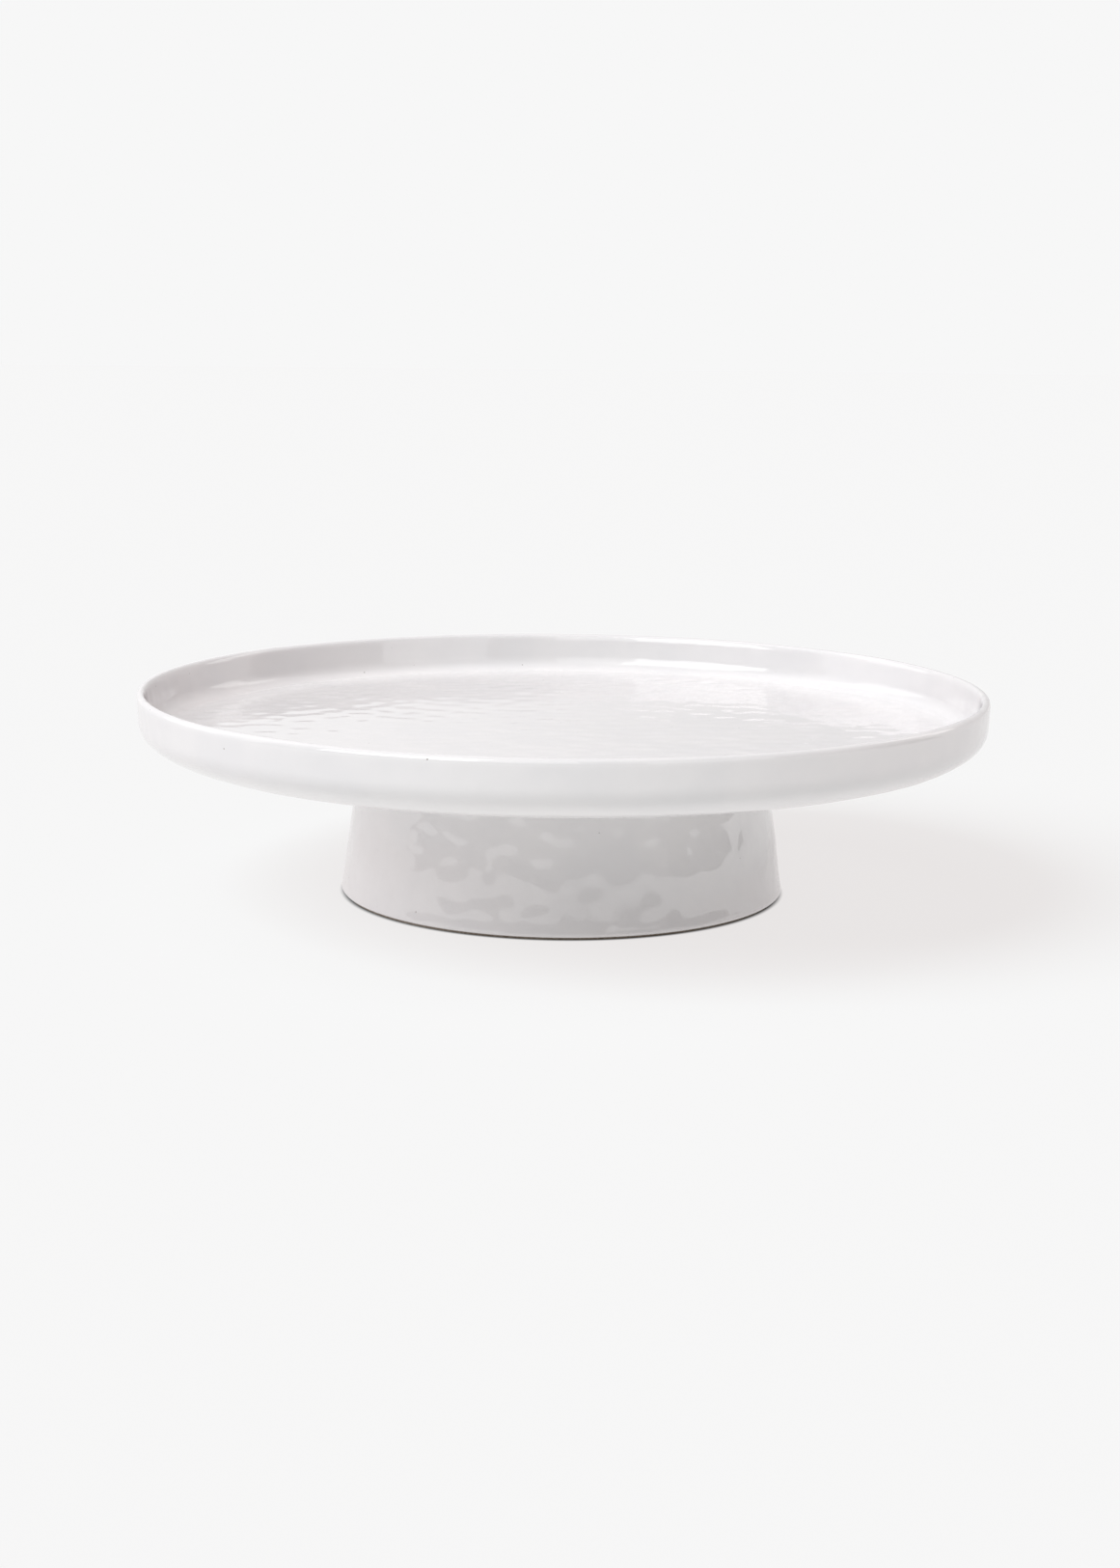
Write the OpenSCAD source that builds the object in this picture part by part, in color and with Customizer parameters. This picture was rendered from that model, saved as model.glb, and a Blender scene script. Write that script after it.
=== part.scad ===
// Low cake stand in glazed stoneware: a shallow dish plate with an upright rim, luted with slip
// onto a hollow flared foot. Sizes are in millimetres and +Z is up. The origin is the centre of
// the ring that the foot stands on, so the table is z = 0.

/* [Stand] */
// Height from the table to the top of the rim
stand_h = 73.6; // [60:0.2:120]

/* [Plate] */
// Outside diameter of the rim
plate_d = 300; // [240:1:330]
// Height of the plate, from its flat underside to the top of the rim
plate_h = 21.4; // [20:0.2:30]
// Thickness of the rim, whose top is a full round
rim_t = 3.5; // [3:0.1:5]
// Thickness of the wall where it meets the inside fillet
wall_t = 4.4; // [3.6:0.1:6]
// Thickness of the flat floor
floor_t = 7; // [3:0.1:8]
// Radius of the fillet between the floor and the inside of the wall
fillet_r = 5.4; // [3:0.2:8]
// How far the outside of the wall leans in from the rim down to the corner
wall_lean = 0.3; // [0:0.1:1]
// Radius of the outside corner under the wall
corner_r = 8.4; // [6:0.2:9]
// Angle that the outside corner turns through before the belly takes over, in degrees
corner_turn = 50; // [40:1:55]
// Radius of the belly that runs from the corner into the underside
belly_r = 22; // [18:0.5:23]

/* [Foot] */
// Outside diameter at the table, before the edge is rounded
foot_base_d = 158.4; // [130:0.2:180]
// Outside diameter where the foot meets the plate
foot_top_d = 144.8; // [110:0.2:160]
// Thickness of the foot's wall, measured square to it
foot_wall_t = 5.5; // [5:0.1:8]
// Radius of the glazed edges beside the standing ring
foot_edge_r = 1.2; // [0.8:0.1:1.5]
// Width of the bare clay ring that the foot stands on
ring_w = 2.6; // [1.6:0.1:2.8]
// Height of the standing ring below the glazed edges
ring_h = 0.7; // [0.4:0.1:1.5]

/* [Slip joint] */
// Thickness of the slip between the foot's top edge and the plate
slip_t = 0.8; // [0.4:0.1:1.5]
// Radius of the slip smoothed into the corners inside and outside the foot
slip_fillet_r = 3; // [2:0.1:5]

/* [Hidden] */

// Sides of each turned surface
$fn = 180;
// Degrees of arc per straight step in the turned outlines
arc_step = 6;

underside_z = stand_h - plate_h;
floor_z = underside_z + floor_t;
rim_r = rim_t / 2;
plate_r = plate_d / 2;
wall_foot_r = plate_r - wall_lean;
inner_foot_r = wall_foot_r - wall_t;

// The corner arc and the belly arc meet with one tangent, and the belly ends flat.
corner_z = underside_z + belly_r - (belly_r - corner_r) * sin(corner_turn);
corner_c = [wall_foot_r - corner_r, corner_z];
belly_c = corner_c + (corner_r - belly_r) * [cos(corner_turn), -sin(corner_turn)];

foot_h = underside_z - slip_t;
foot_base_r = foot_base_d / 2;
foot_lean = atan((foot_base_d - foot_top_d) / 2 / foot_h);
// The wall's thickness seen level instead of square to the wall
foot_wall_level = foot_wall_t / cos(foot_lean);

// Points along an arc about c, from angle a0 to angle a1
function arc(c, r, a0, a1) =
    let (n = max(2, ceil(abs(a1 - a0) / arc_step)))
    [for (i = [0 : n]) c + r * [cos(a0 + (a1 - a0) * i / n), sin(a0 + (a1 - a0) * i / n)]];

// Radius of the foot's outside and of its inside at height z
function foot_outside(z) = foot_base_r - z * tan(foot_lean);
function foot_inside(z) = foot_outside(z) - foot_wall_level;

// Dish: flat floor, inside fillet, upright wall with a rounded top, and a soft outside corner
module plate() {
    color("snow")
        rotate_extrude()
            polygon(concat(
                [[0, floor_z], [0, underside_z]],
                arc(belly_c, belly_r, -90, -corner_turn),
                arc(corner_c, corner_r, -corner_turn, 0),
                arc([plate_r - rim_r, stand_h - rim_r], rim_r, 0, 180),
                arc([inner_foot_r - fillet_r, floor_z + fillet_r], fillet_r, 0, -90)
            ));
}

// Foot: an open tube that flares downwards. Its two bottom edges are rounded, and it stands
// on a narrow ring that was wiped clean of glaze, set in from both of them.
module foot() {
    edge_z = ring_h + foot_edge_r;
    edge_level = foot_edge_r / cos(foot_lean);
    outer_edge_c = [foot_outside(edge_z) - edge_level, edge_z];
    inner_edge_c = [foot_inside(edge_z) + edge_level, edge_z];
    ring_r = (outer_edge_c.x + inner_edge_c.x) / 2;
    ring_in = ring_r - ring_w / 2;
    ring_out = ring_r + ring_w / 2;
    color("whitesmoke")
        rotate_extrude()
            polygon(concat(
                arc(inner_edge_c, foot_edge_r, 180 + foot_lean, 270),
                [[ring_in, ring_h], [ring_in, 0], [ring_out, 0], [ring_out, ring_h]],
                arc(outer_edge_c, foot_edge_r, -90, foot_lean),
                [[foot_outside(foot_h), foot_h], [foot_inside(foot_h), foot_h]]
            ));
}

// Slip that joins the two: it fills the gap over the foot's top edge, and it is smoothed
// into a hollow fillet along the outside and the inside of the foot
module joint_slip() {
    fillet_z = underside_z - slip_fillet_r;
    fillet_level = slip_fillet_r / cos(foot_lean);
    outer_c = [foot_outside(fillet_z) + fillet_level, fillet_z];
    inner_c = [foot_inside(fillet_z) - fillet_level, fillet_z];
    color("ivory")
        rotate_extrude()
            polygon(concat(
                arc(outer_c, slip_fillet_r, 90, 180 + foot_lean),
                [[foot_outside(foot_h), foot_h], [foot_inside(foot_h), foot_h]],
                arc(inner_c, slip_fillet_r, foot_lean, 90)
            ));
}

plate();
foot();
joint_slip();
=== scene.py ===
"""Looks of the low stoneware cake stand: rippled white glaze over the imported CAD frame."""

import math

import bpy
import numpy as np
from mathutils import Matrix, Vector


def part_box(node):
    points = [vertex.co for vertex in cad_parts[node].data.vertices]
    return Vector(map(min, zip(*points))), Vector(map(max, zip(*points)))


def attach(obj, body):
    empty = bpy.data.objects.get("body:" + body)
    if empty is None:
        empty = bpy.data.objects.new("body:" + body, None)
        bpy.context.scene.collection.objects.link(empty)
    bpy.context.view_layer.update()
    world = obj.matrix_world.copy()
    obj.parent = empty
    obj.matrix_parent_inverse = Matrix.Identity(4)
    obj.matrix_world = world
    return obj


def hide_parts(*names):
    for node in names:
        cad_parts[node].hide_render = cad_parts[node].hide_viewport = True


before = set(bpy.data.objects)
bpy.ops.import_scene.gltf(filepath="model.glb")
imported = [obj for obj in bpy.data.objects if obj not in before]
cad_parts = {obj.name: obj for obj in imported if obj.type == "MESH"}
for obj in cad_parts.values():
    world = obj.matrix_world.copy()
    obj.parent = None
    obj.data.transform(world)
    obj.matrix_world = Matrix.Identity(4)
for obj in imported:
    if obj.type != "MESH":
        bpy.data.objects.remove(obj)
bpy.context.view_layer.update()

MM = 0.001
# Lengths under this, in metres, count as nothing
TINY = 1e-9

# ---------------------------------------------------------------- sizes
plate_lo, plate_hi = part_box("plate")
foot_lo, foot_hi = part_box("foot")
PLATE_R = (plate_hi.x - plate_lo.x) / 2
STAND_H = plate_hi.z
UNDERSIDE_Z = plate_lo.z
FOOT_TOP_Z = foot_hi.z

# The sizes of the sections that a box doesn't give, the same as in the CAD source
RIM_T = 3.5 * MM
WALL_T = 4.4 * MM
FLOOR_T = 7.0 * MM
FILLET_R = 5.4 * MM
WALL_LEAN = 0.3 * MM
CORNER_R = 8.4 * MM
CORNER_TURN = math.radians(50)
BELLY_R = 22 * MM
FOOT_BASE_R = 79.2 * MM
FOOT_TOP_R = 72.4 * MM
FOOT_WALL_T = 5.5 * MM
FOOT_EDGE_R = 1.2 * MM
RING_W = 2.6 * MM
RING_H = 0.7 * MM
SLIP_FILLET_R = 3.0 * MM

FLOOR_Z = UNDERSIDE_Z + FLOOR_T
FOOT_LEAN = math.atan((FOOT_BASE_R - FOOT_TOP_R) / FOOT_TOP_Z)
RIGHT_ANGLE = math.pi / 2

# How deep the hand-made surface lies under its CAD face on average
SINK = 0.20 * MM
# How deep the hidden sides of the slip reach into the foot and the plate
SLIP_BITE = 0.4 * MM

# How far apart an outline's points stand on its faces: fine where the ripple shows, coarse underneath
FLOOR_STEP = 1.3 * MM
WALL_STEP = 0.47 * MM
FOOT_STEP = 1.15 * MM
HIDDEN_STEP = 2.6 * MM


# ---------------------------------------------------------------- outlines
def arc(centre, radius, start, end, step=0.9 * MM):
    """Points along an arc in the (radius, height) plane, angles in radians."""
    count = max(3, math.ceil(abs(end - start) * radius / step))
    angles = np.linspace(start, end, count + 1)
    return np.stack([centre[0] + radius * np.cos(angles), centre[1] + radius * np.sin(angles)], axis=1)


def resample(points, step):
    """The same outline with its points spaced evenly, about step apart."""
    points = np.asarray(points)
    lengths = np.hypot(*np.diff(points, axis=0).T)
    points = points[np.concatenate([[True], lengths > TINY])]
    along = np.concatenate([[0], np.cumsum(np.hypot(*np.diff(points, axis=0).T))])
    at = np.linspace(0, along[-1], max(2, round(along[-1] / step)) + 1)
    return np.stack([np.interp(at, along, points[:, 0]), np.interp(at, along, points[:, 1])], axis=1)


def soften(points, passes):
    """Rounds an outline's small kinks; its two end points stay."""
    points = points.copy()
    for _ in range(passes):
        points[1:-1] = 0.25 * points[:-2] + 0.5 * points[1:-1] + 0.25 * points[2:]
    return points


def plate_outline():
    """The plate's section, from the middle of the dish over the rim to the middle underneath."""
    rim_r = RIM_T / 2
    wall_foot_r = PLATE_R - WALL_LEAN
    inner_foot_r = wall_foot_r - WALL_T
    turn = np.array([math.cos(CORNER_TURN), -math.sin(CORNER_TURN)])
    corner = np.array([wall_foot_r - CORNER_R, UNDERSIDE_Z + BELLY_R + (BELLY_R - CORNER_R) * turn[1]])
    belly = corner + (CORNER_R - BELLY_R) * turn
    shell = np.concatenate([
        arc((inner_foot_r - FILLET_R, FLOOR_Z + FILLET_R), FILLET_R, -RIGHT_ANGLE, 0),
        arc((PLATE_R - rim_r, STAND_H - rim_r), rim_r, math.pi, 0, step=0.4 * MM),
        arc(corner, CORNER_R, 0, -CORNER_TURN),
        arc(belly, BELLY_R, -CORNER_TURN, -RIGHT_ANGLE),
    ])
    floor = resample([(0, FLOOR_Z), shell[0]], FLOOR_STEP)
    # The walls are softened on a fine outline, and every other point of it is kept
    walls = soften(resample(shell, WALL_STEP), passes=5)[::2]
    underside = resample([walls[-1], (0, UNDERSIDE_Z)], HIDDEN_STEP)
    return np.concatenate([floor[:-1], walls[:-1], underside])


def foot_radius(z, inside=False):
    """Radius of the foot's straight outer or inner face at height z."""
    level_t = FOOT_WALL_T / math.cos(FOOT_LEAN) if inside else 0
    return FOOT_BASE_R - z * math.tan(FOOT_LEAN) - level_t


# The thrown foot swells this far past its straight side, in a bead at the base and in a soft belly
ROLL = 0.10 * MM
BEAD_H = 3.5 * MM
BELLY_Z, BELLY_H = 19 * MM, 7 * MM


def foot_roll(z):
    """The swelling of the foot at height z."""
    bead = ROLL * np.exp(-z / BEAD_H)
    belly = ROLL * np.exp(-((z - BELLY_Z) / BELLY_H) ** 2)
    return bead + belly


def foot_outline():
    """The foot's closed section: outer side down, edge, standing ring, edge, inner side up, top."""
    edge_z = RING_H + FOOT_EDGE_R
    edge_level = FOOT_EDGE_R / math.cos(FOOT_LEAN)
    outer = (foot_radius(edge_z) - edge_level, edge_z)
    inner = (foot_radius(edge_z, inside=True) + edge_level, edge_z)
    ring_in = (outer[0] + inner[0] - RING_W) / 2
    ring_out = ring_in + RING_W
    outer_edge = arc(outer, FOOT_EDGE_R, FOOT_LEAN, -RIGHT_ANGLE, step=0.25 * MM)
    inner_edge = arc(inner, FOOT_EDGE_R, -RIGHT_ANGLE, -math.pi - FOOT_LEAN, step=0.4 * MM)
    inner_top = (foot_radius(FOOT_TOP_Z, inside=True), FOOT_TOP_Z)
    outer_side = resample([(foot_radius(FOOT_TOP_Z), FOOT_TOP_Z), outer_edge[0]], FOOT_STEP)
    inner_side = resample([inner_edge[-1], inner_top], HIDDEN_STEP)
    outer_side[:, 0] += foot_roll(outer_side[:, 1])
    outer_edge[:, 0] += foot_roll(outer_edge[:, 1]) * np.linspace(1, 0, len(outer_edge))
    ring = np.array([(ring_out, RING_H), (ring_out, 0), (ring_in, 0), (ring_in, RING_H)])
    return np.concatenate([outer_side[:-1], outer_edge, ring, inner_edge, inner_side[1:]])


def slip_outline():
    """The slip's closed section, and which of its points show: the two fillets do."""
    z = UNDERSIDE_Z - SLIP_FILLET_R
    level = SLIP_FILLET_R / math.cos(FOOT_LEAN)
    step = 0.5 * MM
    outer_c = (foot_radius(z) + level, z)
    inner_c = (foot_radius(z, inside=True) - level, z)
    outer = arc(outer_c, SLIP_FILLET_R, RIGHT_ANGLE, math.pi + FOOT_LEAN, step)
    inner = arc(inner_c, SLIP_FILLET_R, FOOT_LEAN, RIGHT_ANGLE, step)
    bite = np.array([SLIP_BITE, 0])
    lift = np.array([0, SLIP_BITE])
    hidden = [
        outer[-1] - bite,
        (foot_radius(FOOT_TOP_Z) - SLIP_BITE, FOOT_TOP_Z - SLIP_BITE),
        (foot_radius(FOOT_TOP_Z, inside=True) + SLIP_BITE, FOOT_TOP_Z - SLIP_BITE),
        inner[0] + bite,
    ]
    outline = np.concatenate([[outer[0] + lift], outer, hidden, inner, [inner[-1] + lift]])
    shows = np.concatenate([[0], np.ones(len(outer)), np.zeros(len(hidden)), np.ones(len(inner)), [0]])
    return outline, shows


# ---------------------------------------------------------------- the hand in the clay
class Ripple:
    """A smooth random height field in space: many plane waves with lengths in one band. Its height
    is the root mean square of the field."""

    def __init__(self, seed, shortest, longest, height, waves):
        random = np.random.default_rng(seed)
        heading = random.normal(size=(waves, 3))
        heading /= np.linalg.norm(heading, axis=1)[:, None]
        length = shortest * (longest / shortest) ** random.random(waves)
        self.wave = heading * (2 * math.pi / length)[:, None]
        self.phase = random.random(waves) * 2 * math.pi
        self.height = height * math.sqrt(2) * length / np.sqrt((length ** 2).sum())

    def __call__(self, points):
        return np.cos(points @ self.wave.T + self.phase) @ self.height


# The glaze is dimpled on the dish's floor and on the foot, and the clay waves gently everywhere
floor_ripple = Ripple(seed=11, shortest=6.5 * MM, longest=12 * MM, height=0.045 * MM, waves=160)
side_ripple = Ripple(seed=13, shortest=6 * MM, longest=13 * MM, height=0.050 * MM, waves=160)
clay_wave = Ripple(seed=12, shortest=28 * MM, longest=80 * MM, height=0.05 * MM, waves=60)

# Share of the side ripple on the plate's calmer walls
WALL_CALM = 0.4
# Over how much of its radius the floor's ripple fades out before the fillet
FLOOR_FADE = 8 * MM


def on_floor(points):
    """1 on the dish's floor, fading to 0 short of its fillet, and 0 everywhere under the plate."""
    fillet_starts = PLATE_R - WALL_LEAN - WALL_T - FILLET_R
    share = np.clip((fillet_starts - np.hypot(points[:, 0], points[:, 1])) / FLOOR_FADE, 0, 1)
    return share * (points[:, 2] > (UNDERSIDE_Z + FLOOR_Z) / 2)


def relief(points):
    """How far the surface lies off its CAD face, always inwards, by at most twice SINK."""
    floor = on_floor(points)
    side = np.where(points[:, 2] > UNDERSIDE_Z, WALL_CALM, 1) * side_ripple(points)
    height = floor * floor_ripple(points) + (1 - floor) * side + clay_wave(points)
    return SINK * (np.tanh(height / SINK) - 1)


# ---------------------------------------------------------------- meshes
FEWEST_SIDES = 20
# Faces that meet at a sharper angle than this keep a crisp edge
SHARP_ANGLE = math.radians(40)


def side_count(radius, side, most):
    """Sides of a ring: most, halved until each is at least the given length."""
    count = most
    while count > FEWEST_SIDES and 2 * math.pi * radius / count < side:
        count //= 2
    return count


def stitch(a, na, b, nb):
    """Faces between ring a and ring b, whose side counts are equal or differ by half."""
    if nb == 1:
        return [(a + i, a + (i + 1) % na, b) for i in range(na)]
    if na < nb:
        return [face[::-1] for face in stitch(b, nb, a, na)]
    if na == nb:
        return [(a + i, a + (i + 1) % na, b + (i + 1) % nb, b + i) for i in range(na)]
    faces = []
    for i in range(nb):
        first, middle, last = a + 2 * i, a + 2 * i + 1, a + (2 * i + 2) % na
        near, far = b + i, b + (i + 1) % nb
        faces += [(first, middle, near), (middle, far, near), (middle, last, far)]
    return faces


def turned_piece(name, outline, strength, side, most, closed=False):
    """Turns an outline about Z. strength scales the relief at each of the outline's points, side is
    the length that a ring's sides keep to, and most is how many sides the widest rings have."""
    before, after = np.roll(outline, 1, axis=0), np.roll(outline, -1, axis=0)
    if not closed:
        before[0], after[-1] = outline[0], outline[-1]
    along = after - before
    normals = np.stack([-along[:, 1], along[:, 0]], axis=1)
    normals /= np.linalg.norm(normals, axis=1)[:, None]
    rings = []
    verts = []
    total = 0
    for (r, z), (nr, nz), amount in zip(outline, normals, strength):
        count = 1 if r < TINY else side_count(r, side, most)
        turn = np.arange(count) * (2 * math.pi / count)
        ring = np.stack([r * np.cos(turn), r * np.sin(turn), np.full(count, z)], axis=1)
        outward = np.stack([nr * np.cos(turn), nr * np.sin(turn), np.full(count, nz)], axis=1)
        verts.append(ring + outward * (amount * relief(ring))[:, None])
        rings.append((total, count))
        total += count
    if closed:
        rings.append(rings[0])
    faces = []
    for lower, upper in zip(rings[:-1], rings[1:]):
        faces += stitch(*upper, *lower)
    mesh = bpy.data.meshes.new(name)
    mesh.from_pydata(np.concatenate(verts).tolist(), [], faces)
    mesh.shade_smooth()
    mesh.set_sharp_from_angle(angle=SHARP_ANGLE)
    piece = bpy.data.objects.new(name, mesh)
    bpy.context.collection.objects.link(piece)
    return piece


plate_points = plate_outline()
plate_strength = np.ones(len(plate_points))
plate = turned_piece("glazed_plate", plate_points, plate_strength, side=1.0 * MM, most=640)

# The relief fades in above the standing ring, which stays true to the table
RELIEF_FROM, RELIEF_FADE = 1.5 * MM, 3.5 * MM
foot_points = foot_outline()
foot_strength = np.clip((foot_points[:, 1] - RELIEF_FROM) / RELIEF_FADE, 0, 1)
foot = turned_piece("glazed_foot", foot_points, foot_strength, side=0.9 * MM, most=400, closed=True)

slip_points, slip_shows = slip_outline()
slip = turned_piece("glazed_slip", slip_points, slip_shows, side=1.0 * MM, most=320, closed=True)


# ---------------------------------------------------------------- node helpers
class Tree:
    """Adds shader nodes to one tree, linking sockets and setting plain values."""

    def __init__(self, owner):
        owner.use_nodes = True
        self.tree = owner.node_tree
        self.tree.nodes.clear()

    def add(self, kind, inputs, **settings):
        node = self.tree.nodes.new("ShaderNode" + kind)
        for name, value in settings.items():
            setattr(node, name, value)
        for name, value in inputs.items():
            if isinstance(value, bpy.types.NodeSocket):
                self.tree.links.new(value, node.inputs[name])
            else:
                node.inputs[name].default_value = value
        return node

    def math(self, operation, *values):
        return self.add("Math", dict(enumerate(values)), operation=operation).outputs[0]

    def within(self, value, low, high):
        """1 where value lies between low and high, else 0."""
        above = self.math("GREATER_THAN", value, low)
        below = self.math("LESS_THAN", value, high)
        return self.math("MULTIPLY", above, below)

    def span(self, value, low, high, to_low=0.0, to_high=1.0):
        """Eases from to_low to to_high while value goes from low to high."""
        inputs = {"Value": value, "From Min": low, "From Max": high, "To Min": to_low, "To Max": to_high}
        return self.add("MapRange", inputs, interpolation_type="SMOOTHSTEP").outputs["Result"]

    def blend(self, factor, first, second):
        """Mixes two colours: first where factor is 0, second where it is 1."""
        node = self.add("Mix", {"Factor": factor}, data_type="RGBA")
        colours = [socket for socket in node.inputs if socket.type == "RGBA"]
        for socket, value in zip(colours, (first, second)):
            if isinstance(value, bpy.types.NodeSocket):
                self.tree.links.new(value, socket)
            else:
                socket.default_value = value
        return next(socket for socket in node.outputs if socket.type == "RGBA")


# ---------------------------------------------------------------- glaze and bare clay
GLAZE_WHITE = (0.862, 0.851, 0.848, 1)
GLAZE_POOLED = (0.836, 0.828, 0.829, 1)
GLAZE_SPECK = (0.22, 0.18, 0.15, 1)
BARE_CLAY = (0.50, 0.43, 0.36, 1)
BARE_CLAY_DARK = (0.34, 0.28, 0.22, 1)

GLAZE_IOR, CLAY_IOR = 1.62, 1.45
GLOSSIEST, LEAST_GLOSSY = 0.01, 0.025
CLAY_ROUGHNESS = 0.85

# How many times the patterns repeat in a metre
MOTTLE_SCALE = 38
SHEEN_SCALE = 70
PINHOLE_SCALE = 125
DRIP_SCALE = 120
GRIT_SCALE = 900

# Where in the noise's range of 0 to 1 each pattern changes over
MOTTLE_BAND = (0.35, 0.65)
SHEEN_BAND = (0.3, 0.7)
GRIT_BAND = (0.35, 0.7)

# Pinholes: the widest one's radius and the soft edge of each, as shares of their spacing
PINHOLE_R = 0.036
PINHOLE_EDGE = 0.012
PINHOLE_TINT = 0.65
PINHOLE_DEPTH = 0.03 * MM
GRIT_DEPTH = 0.08 * MM

# The glaze ends at a wavy line near the top of the standing ring. These are the line's lowest
# height, how far it rises above that, and half the width of its soft edge.
GLAZE_END_Z = RING_H - 0.15 * MM
GLAZE_END_WAVE = 0.5 * MM
GLAZE_END_EDGE = 0.06 * MM


def noise(t, place, scale, detail, roughness=0.5):
    """Smooth noise from 0 to 1 in the object's own space."""
    inputs = {"Vector": place, "Scale": scale, "Detail": detail, "Roughness": roughness}
    return t.add("TexNoise", inputs).outputs["Fac"]


def glaze_shader(t, place):
    """Glossy white glaze, softly mottled, with a few brown pinholes."""
    mottle = noise(t, place, MOTTLE_SCALE, detail=3, roughness=0.55)
    colour = t.blend(t.span(mottle, *MOTTLE_BAND), GLAZE_WHITE, GLAZE_POOLED)

    cells = t.add("TexVoronoi", {"Vector": place, "Scale": PINHOLE_SCALE, "Randomness": 1})
    chance = t.add("SeparateColor", {"Color": cells.outputs["Color"]}).outputs["Red"]
    size = t.math("MULTIPLY", chance, PINHOLE_R)
    off_hole = t.math("SUBTRACT", cells.outputs["Distance"], size)
    pinhole = t.span(off_hole, 0.0, PINHOLE_EDGE, 1.0, 0.0)
    colour = t.blend(t.math("MULTIPLY", pinhole, PINHOLE_TINT), colour, GLAZE_SPECK)
    pitted = t.add("Bump", {"Strength": 1, "Distance": PINHOLE_DEPTH, "Height": pinhole}, invert=True)

    sheen_wave = noise(t, place, SHEEN_SCALE, detail=2)
    roughness = t.span(sheen_wave, *SHEEN_BAND, GLOSSIEST, LEAST_GLOSSY)
    return t.add("BsdfPrincipled", {
        "Base Color": colour,
        "Roughness": roughness,
        "IOR": GLAZE_IOR,
        "Normal": pitted.outputs["Normal"],
    })


def clay_shader(t, place):
    """Bare fired clay, matt and gritty."""
    grit = noise(t, place, GRIT_SCALE, detail=4, roughness=0.7)
    colour = t.blend(t.span(grit, *GRIT_BAND), BARE_CLAY, BARE_CLAY_DARK)
    gritty = t.add("Bump", {"Strength": 1, "Distance": GRIT_DEPTH, "Height": grit})
    return t.add("BsdfPrincipled", {
        "Base Color": colour,
        "Roughness": CLAY_ROUGHNESS,
        "IOR": CLAY_IOR,
        "Normal": gritty.outputs["Normal"],
    })


def glaze_material():
    """White glaze, and bare clay below the wavy line where the glaze was wiped off."""
    mat = bpy.data.materials.new("white_glaze")
    t = Tree(mat)
    place = t.add("TexCoord", {}).outputs["Object"]
    height = t.add("SeparateXYZ", {"Vector": place}).outputs["Z"]
    glaze = glaze_shader(t, place)
    clay = clay_shader(t, place)
    drip = noise(t, place, DRIP_SCALE, detail=2)
    line = t.math("MULTIPLY_ADD", drip, GLAZE_END_WAVE, GLAZE_END_Z)
    bare = t.span(t.math("SUBTRACT", height, line), -GLAZE_END_EDGE, GLAZE_END_EDGE, 1.0, 0.0)
    surface = t.add("MixShader", {"Fac": bare, 1: glaze.outputs[0], 2: clay.outputs[0]})
    t.add("OutputMaterial", {"Surface": surface.outputs[0]})
    return mat


glaze = glaze_material()
glazed_things = bpy.data.collections.new("glazed_things")
for piece, node in ((plate, "plate"), (foot, "foot"), (slip, "joint_slip")):
    piece.data.materials.append(glaze)
    glazed_things.objects.link(piece)
    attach(piece, "root")
    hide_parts(node)


# ---------------------------------------------------------------- the dark front of the room
# In the studio, azimuth 0 is behind the camera and positive to the right, in degrees
FRONT_FROM, FRONT_TO = -84, 105
FRONT_GLOW = 0.20
FLAG_FROM = 55
FLAG_GLOW = 0.03

# The dark front starts at this elevation straight ahead and falls away sideways as a parabola
EDGE_MIDDLE = 1.7
EDGE_FALL = 2.1
EDGE_FALL_AT = 70
EDGE_LOWEST = -1.6


def studio_azimuth(t, axes):
    """Azimuth of a direction or place, from its separated X and Y."""
    backwards = t.math("MULTIPLY", axes.outputs["Y"], -1)
    return t.math("DEGREES", t.math("ARCTAN2", axes.outputs["X"], backwards))


def dark_front(t, azimuth, elevation):
    """1 where the dark front of the room is seen, else 0."""
    side = t.math("DIVIDE", azimuth, EDGE_FALL_AT)
    curve = t.math("MULTIPLY_ADD", t.math("MULTIPLY", side, side), -EDGE_FALL, EDGE_MIDDLE)
    edge = t.math("MAXIMUM", curve, EDGE_LOWEST)
    above = t.math("GREATER_THAN", elevation, edge)
    return t.math("MULTIPLY", above, t.within(azimuth, FRONT_FROM, FRONT_TO))


def front_glow(t, azimuth):
    """Radiance of the dark front; a black flag stands at its right."""
    flag = t.math("GREATER_THAN", azimuth, FLAG_FROM)
    return t.math("MULTIPLY_ADD", flag, FLAG_GLOW - FRONT_GLOW, FRONT_GLOW)


# ---------------------------------------------------------------- table
TABLE_R = 12.0
TABLE_SIDES = 96
TABLE_PAINT = (0.050, 0.060, 0.062, 1)
TABLE_GLOW = (0.784, 0.756, 0.750, 1)
# Painted contact shadow: under the foot the table's glow is dimmed to this share. The glow rises between
# these two radii at the foot's edge.
CONTACT_SHADOW_GLOW = 0.02
CONTACT_SHADOW_INSIDE_R = FOOT_BASE_R - 2.0 * MM
CONTACT_SHADOW_OUTSIDE_R = FOOT_BASE_R + 0.8 * MM
# Height on the foot from which the mirrored table's end is reckoned
MIRROR_EYE_Z = 18 * MM


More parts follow.
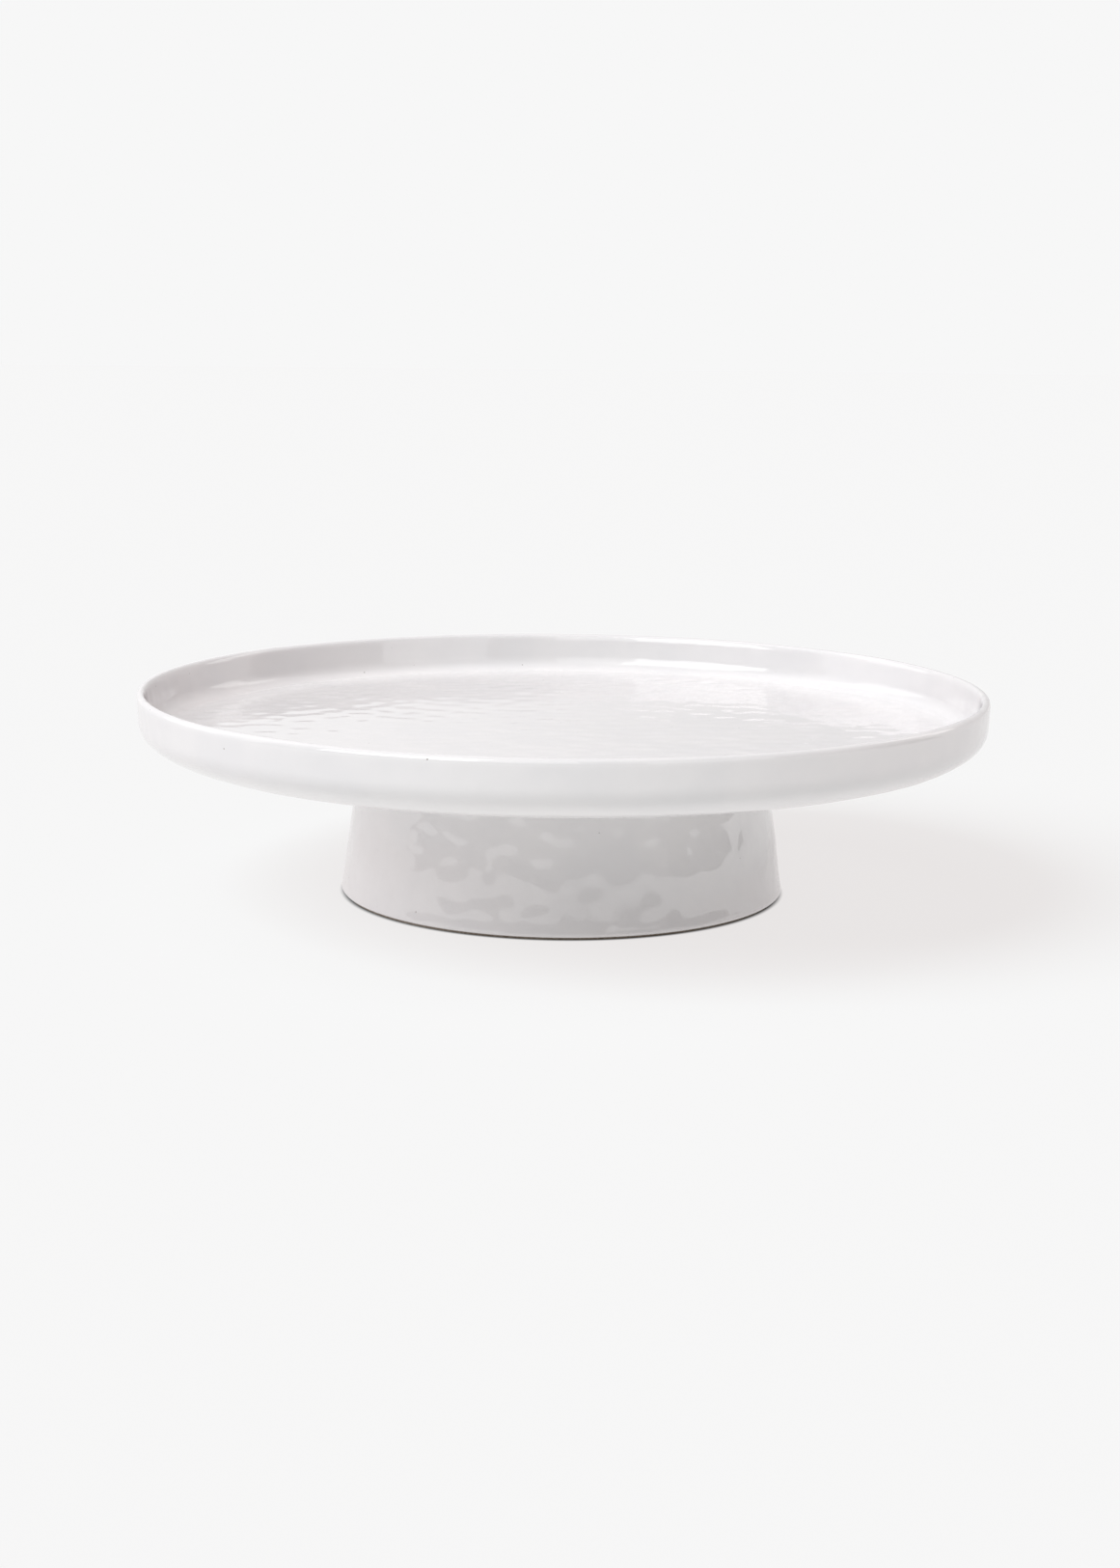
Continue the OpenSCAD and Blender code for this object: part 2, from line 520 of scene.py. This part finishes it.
def table_material():
    """White paint with a glow of its own, which stands for the even light of the studio around it. The
    glow is dimmed under the foot's edge as a painted contact shadow.
    """
    mat = bpy.data.materials.new("table_white")
    t = Tree(mat)
    place = t.add("SeparateXYZ", {"Vector": t.add("TexCoord", {}).outputs["Object"]})
    squares = [t.math("POWER", place.outputs[axis], 2) for axis in ("X", "Y")]
    reach = t.math("SQRT", t.math("ADD", *squares))
    # The glow's strength, dimmed under the foot's edge: a painted contact shadow, not shade from any
    # lamp
    glow_with_painted_contact_shadow = t.span(reach, CONTACT_SHADOW_INSIDE_R, CONTACT_SHADOW_OUTSIDE_R, CONTACT_SHADOW_GLOW, 1.0)
    glow = t.add("Emission", {"Color": TABLE_GLOW, "Strength": glow_with_painted_contact_shadow})
    paint = t.add("BsdfDiffuse", {"Color": TABLE_PAINT})
    both = t.add("AddShader", {0: glow.outputs[0], 1: paint.outputs[0]})

    # Mirrored in the glaze, the table ends where the dark front of the room begins
    azimuth = studio_azimuth(t, place)
    drop = t.math("DIVIDE", -math.degrees(MIRROR_EYE_Z), reach)
    mirror_ray = t.add("LightPath", {}).outputs["Is Glossy Ray"]
    beyond = t.math("MULTIPLY", dark_front(t, azimuth, drop), mirror_ray)
    dark = t.add("Emission", {"Color": (1, 1, 1, 1), "Strength": front_glow(t, azimuth)})
    surface = t.add("MixShader", {"Fac": beyond, 1: both.outputs[0], 2: dark.outputs[0]})
    t.add("OutputMaterial", {"Surface": surface.outputs[0]})
    mat.cycles.emission_sampling = "NONE"
    return mat


def table():
    """A wide round table top at z = 0."""
    turn = np.arange(TABLE_SIDES) * (2 * math.pi / TABLE_SIDES)
    ring = np.stack([TABLE_R * np.cos(turn), TABLE_R * np.sin(turn), np.zeros(TABLE_SIDES)], axis=1)
    mesh = bpy.data.meshes.new("table")
    mesh.from_pydata(ring.tolist(), [], [tuple(range(TABLE_SIDES))])
    mesh.materials.append(table_material())
    top = bpy.data.objects.new("table", mesh)
    bpy.context.collection.objects.link(top)
    return top


# ---------------------------------------------------------------- light
BACKDROP = 0.93
# The pale room glows more at the left than at the right. The change is eased over the directions
# whose X is within ROOM_EASE of 0.
ROOM_GLOW_LEFT = 0.98
ROOM_GLOW_RIGHT = 0.66
ROOM_EASE = 0.18

# Lit areas of the room that the glaze mirrors: azimuth from and to, elevation from and to, radiance
PANELS = (
    (-180, 181, 62, 91, 0.5),    # ceiling
    (-22, 4, 14, 58, 1.2),       # softbox, its dimmer edge
    (-66, -22, 14, 58, 3.5),     # softbox
    (-131, -103, 8, 45, 2.0),    # strip light at the left
    (113, 126, 8, 40, 2.0),      # strip light at the right
    (22, 56, 5.5, 25, 1.1),      # reflector board
)

# The room's even light on matt surfaces: a constant, and broad lobes towards (azimuth, elevation)
SKY_EVEN = (0.03, 0.03, 0.03)
SKY_LOBES = (
    ((-90, 12), (1.65, 1.40, 1.43)),
    ((90, 45), (1.20, 1.02, 1.04)),
)
LOBE_POWER = 6

# The flag keeps most of the light off matt surfaces from low down at the right
SHADE_FROM, SHADE_TO = 45, 115
SHADE_TOP = 28
SHADE_DEPTH = 0.8


def direction(azimuth, elevation):
    """Unit vector to a place in the studio, from degrees."""
    a, e = math.radians(azimuth), math.radians(elevation)
    return Vector((math.sin(a) * math.cos(e), -math.cos(a) * math.cos(e), math.sin(e)))


def soft_light(name, azimuth, elevation, strength, spread, lit, colour=(1, 1, 1)):
    """A distant lamp, soft by its spread in degrees, on the things in one collection. It isn't
    mirrored itself: the studio around gives the reflections."""
    lamp = bpy.data.lights.new(name, "SUN")
    lamp.energy = strength
    lamp.color = colour
    lamp.angle = math.radians(spread)
    light = bpy.data.objects.new(name, lamp)
    light.rotation_mode = "QUATERNION"
    light.rotation_quaternion = direction(azimuth, elevation).to_track_quat("Z", "Y")
    light.visible_glossy = False
    light.light_linking.receiver_collection = lit
    bpy.context.collection.objects.link(light)


def mirrored_room(t, azimuth, elevation, sideways):
    """What the glaze mirrors: a pale room, dark in front, with softboxes and a reflector board."""
    front = dark_front(t, azimuth, elevation)
    room = t.span(sideways, -ROOM_EASE, ROOM_EASE, ROOM_GLOW_LEFT, ROOM_GLOW_RIGHT)
    grey = t.math("MULTIPLY_ADD", front, t.math("SUBTRACT", front_glow(t, azimuth), room), room)
    for left, right, low, high, radiance in PANELS:
        inside = t.math("MULTIPLY", t.within(azimuth, left, right), t.within(elevation, low, high))
        grey = t.math("MULTIPLY_ADD", inside, t.math("SUBTRACT", radiance, grey), grey)
    return t.add("CombineColor", {"Red": grey, "Green": grey, "Blue": grey}).outputs["Color"]


def soft_sky(t, azimuth, elevation, look):
    """The even light of the room on matt surfaces."""
    sky = SKY_EVEN
    for place, colour in SKY_LOBES:
        facing = t.add("VectorMath", {0: look, 1: direction(*place)}, operation="DOT_PRODUCT")
        lobe = t.math("POWER", t.math("MAXIMUM", facing.outputs["Value"], 0), LOBE_POWER)
        glow = t.add("VectorMath", {0: colour, "Scale": lobe}, operation="SCALE").outputs["Vector"]
        sky = t.add("VectorMath", {0: glow, 1: sky}, operation="ADD").outputs["Vector"]
    low_down = t.math("LESS_THAN", elevation, SHADE_TOP)
    shaded = t.math("MULTIPLY", t.within(azimuth, SHADE_FROM, SHADE_TO), low_down)
    share = t.math("MULTIPLY_ADD", shaded, -SHADE_DEPTH, 1)
    return t.add("VectorMath", {0: sky, "Scale": share}, operation="SCALE").outputs["Vector"]


def studio():
    """The room: a plain backdrop to the camera, the soft sky to matt surfaces, the rest to gloss."""
    world = bpy.data.worlds.new("studio")
    bpy.context.scene.world = world
    world.cycles.sampling_method = "NONE"
    t = Tree(world)
    look = t.add("TexCoord", {}).outputs["Generated"]
    axes = t.add("SeparateXYZ", {"Vector": look})
    azimuth = studio_azimuth(t, axes)
    elevation = t.math("DEGREES", t.math("ARCSINE", axes.outputs["Z"]))
    mirrored = mirrored_room(t, azimuth, elevation, axes.outputs["X"])
    sky = soft_sky(t, azimuth, elevation, look)
    rays = t.add("LightPath", {})
    seen = t.blend(rays.outputs["Is Diffuse Ray"], mirrored, sky)
    seen = t.blend(rays.outputs["Is Camera Ray"], seen, (BACKDROP, BACKDROP, BACKDROP, 1))
    background = t.add("Background", {"Color": seen, "Strength": 1})
    t.add("OutputWorld", {"Surface": background.outputs[0]})


# ---------------------------------------------------------------- camera
EYE_DISTANCE = 0.8718
EYE_ELEVATION = 13.075
AIM = Vector((-0.87 * MM, 0, 37.67 * MM))
ROLL_ANGLE = math.radians(0.578)
SENSOR_WIDTH = 36
LENS = 55.38
NEAR, FAR = 0.01, 100


def camera():
    """The photo's point of view: in front and above the rim, rolled by about half a degree."""
    place = direction(0, EYE_ELEVATION) * EYE_DISTANCE
    eye = bpy.data.objects.new("camera", bpy.data.cameras.new("camera"))
    bpy.context.collection.objects.link(eye)
    eye.location = place
    eye.rotation_mode = "QUATERNION"
    turn = Matrix.Rotation(ROLL_ANGLE, 3, "Z").to_quaternion()
    eye.rotation_quaternion = (AIM - place).to_track_quat("-Z", "Y") @ turn
    eye.data.sensor_width = SENSOR_WIDTH
    eye.data.lens = LENS
    eye.data.clip_start = NEAR
    eye.data.clip_end = FAR
    bpy.context.scene.camera = eye


# ---------------------------------------------------------------- the scene
COOL, WARM = (0.84, 0.95, 1.0), (1.0, 0.99, 0.98)
soft_light("key", azimuth=-60, elevation=45, strength=1.06, spread=40, lit=glazed_things, colour=COOL)
soft_light("top_key", azimuth=0, elevation=65, strength=1.70, spread=40, lit=glazed_things, colour=WARM)
table_things = bpy.data.collections.new("table_things")
table_things.objects.link(table())
soft_light("table_key", azimuth=-66, elevation=44, strength=9.6, spread=46, lit=table_things)
soft_light("table_fill", azimuth=-108, elevation=68, strength=1.4, spread=44, lit=table_things)
studio()
camera()
bpy.context.scene.view_settings.view_transform = "Standard"
